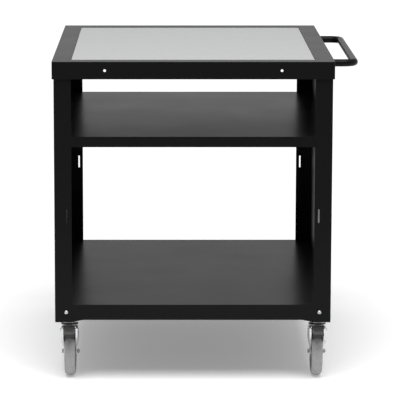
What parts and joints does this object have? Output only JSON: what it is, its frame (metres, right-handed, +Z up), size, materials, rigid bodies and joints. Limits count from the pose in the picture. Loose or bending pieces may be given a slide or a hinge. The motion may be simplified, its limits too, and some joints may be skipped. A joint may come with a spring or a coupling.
{
  "type": "rolling utility cart",
  "caption": "Sheet-metal utility cart with an inset work top, two shelves between folded side panels, a side push handle and swivel casters with foot brakes.",
  "frame": {"origin": "middle of the bottom of the whole cart's bounding box, on the floor under the wheels", "axes": "+Z up; the front, with the two brake pedals, faces -Y; the handle is on +X"},
  "size_m": [0.7816, 0.9922, 0.821],
  "materials": {
    "body_powder_coat": "semi-gloss black powder coat with a fine orange peel",
    "handle_powder_coat": "semi-gloss black powder coat",
    "top_panel": "light-grey laminate, satin",
    "zinc_plate": "bright zinc plate",
    "plated_fasteners": "bright zinc plate",
    "steel_pins": "plain steel",
    "wheel_core": "moulded grey polypropylene",
    "wheel_tread": "non-marking grey thermoplastic rubber",
    "brake_pedal": "dark-grey moulded nylon"
  },
  "bodies": {
    "frame": {"top_frame": "body_powder_coat", "top_panel": "top_panel", "side_panel_left": "body_powder_coat", "side_panel_right": "body_powder_coat", "upper_shelf": "body_powder_coat", "lower_shelf": "body_powder_coat", "handle_tube": "handle_powder_coat", "handle_insert_front": "steel_pins", "handle_bolt_front": "plated_fasteners", "corner_bracket_front_left": "body_powder_coat", "shelf_screw_front_left": "plated_fasteners", "caster_race_front_left": "zinc_plate", "kingpin_front_left": "steel_pins", "kingpin_nut_front_left": "plated_fasteners", "corner_bracket_front_right": "body_powder_coat", "shelf_screw_front_right": "plated_fasteners", "caster_race_front_right": "zinc_plate", "kingpin_front_right": "steel_pins", "kingpin_nut_front_right": "plated_fasteners", "handle_insert_rear": "steel_pins", "handle_bolt_rear": "plated_fasteners", "corner_bracket_rear_left": "body_powder_coat", "shelf_screw_rear_left": "plated_fasteners", "caster_race_rear_left": "zinc_plate", "kingpin_rear_left": "steel_pins", "kingpin_nut_rear_left": "plated_fasteners", "corner_bracket_rear_right": "body_powder_coat", "shelf_screw_rear_right": "plated_fasteners", "caster_race_rear_right": "zinc_plate", "kingpin_rear_right": "steel_pins", "kingpin_nut_rear_right": "plated_fasteners"},
    "fork_front_left": {"fork_front_left": "zinc_plate", "axle_bolt_front_left": "steel_pins", "axle_nut_front_left": "steel_pins", "axle_sleeve_front_left": "steel_pins", "pedal_pin_front_left": "zinc_plate"},
    "wheel_front_left": {"wheel_core_front_left": "wheel_core", "tyre_front_left": "wheel_tread"},
    "pedal_front_left": {"brake_pedal_front_left": "brake_pedal"},
    "fork_front_right": {"fork_front_right": "zinc_plate", "axle_bolt_front_right": "steel_pins", "axle_nut_front_right": "steel_pins", "axle_sleeve_front_right": "steel_pins", "pedal_pin_front_right": "zinc_plate"},
    "wheel_front_right": {"wheel_core_front_right": "wheel_core", "tyre_front_right": "wheel_tread"},
    "pedal_front_right": {"brake_pedal_front_right": "brake_pedal"},
    "fork_rear_left": {"fork_rear_left": "zinc_plate", "axle_bolt_rear_left": "steel_pins", "axle_nut_rear_left": "steel_pins", "axle_sleeve_rear_left": "steel_pins"},
    "wheel_rear_left": {"wheel_core_rear_left": "wheel_core", "tyre_rear_left": "wheel_tread"},
    "fork_rear_right": {"fork_rear_right": "zinc_plate", "axle_bolt_rear_right": "steel_pins", "axle_nut_rear_right": "steel_pins", "axle_sleeve_rear_right": "steel_pins"},
    "wheel_rear_right": {"wheel_core_rear_right": "wheel_core", "tyre_rear_right": "wheel_tread"}
  },
  "joints": [
    {"name": "swivel_front_left", "type": "hinge", "parent": "frame", "child": "fork_front_left", "pos_m": [-0.35058, -0.43405, 0.146], "axis": [0, 0, 1], "continuous": true},
    {"name": "spin_front_left", "type": "hinge", "parent": "fork_front_left", "child": "wheel_front_left", "pos_m": [-0.35058, -0.39605, 0.0625], "axis": [1, 0, 0], "continuous": true},
    {"name": "brake_front_left", "type": "hinge", "parent": "fork_front_left", "child": "pedal_front_left", "pos_m": [-0.35058, -0.45205, 0.1315], "axis": [1, 0, 0], "range_deg": [0, 20]},
    {"name": "swivel_front_right", "type": "hinge", "parent": "frame", "child": "fork_front_right", "pos_m": [0.28302, -0.43405, 0.146], "axis": [0, 0, 1], "continuous": true},
    {"name": "spin_front_right", "type": "hinge", "parent": "fork_front_right", "child": "wheel_front_right", "pos_m": [0.28302, -0.39605, 0.0625], "axis": [1, 0, 0], "continuous": true},
    {"name": "brake_front_right", "type": "hinge", "parent": "fork_front_right", "child": "pedal_front_right", "pos_m": [0.28302, -0.45205, 0.1315], "axis": [1, 0, 0], "range_deg": [0, 20]},
    {"name": "swivel_rear_left", "type": "hinge", "parent": "frame", "child": "fork_rear_left", "pos_m": [-0.35058, 0.39555, 0.146], "axis": [0, 0, 1], "continuous": true},
    {"name": "spin_rear_left", "type": "hinge", "parent": "fork_rear_left", "child": "wheel_rear_left", "pos_m": [-0.35058, 0.43355, 0.0625], "axis": [1, 0, 0], "continuous": true},
    {"name": "swivel_rear_right", "type": "hinge", "parent": "frame", "child": "fork_rear_right", "pos_m": [0.28302, 0.39555, 0.146], "axis": [0, 0, 1], "continuous": true},
    {"name": "spin_rear_right", "type": "hinge", "parent": "fork_rear_right", "child": "wheel_rear_right", "pos_m": [0.28302, 0.43355, 0.0625], "axis": [1, 0, 0], "continuous": true}
  ]
}
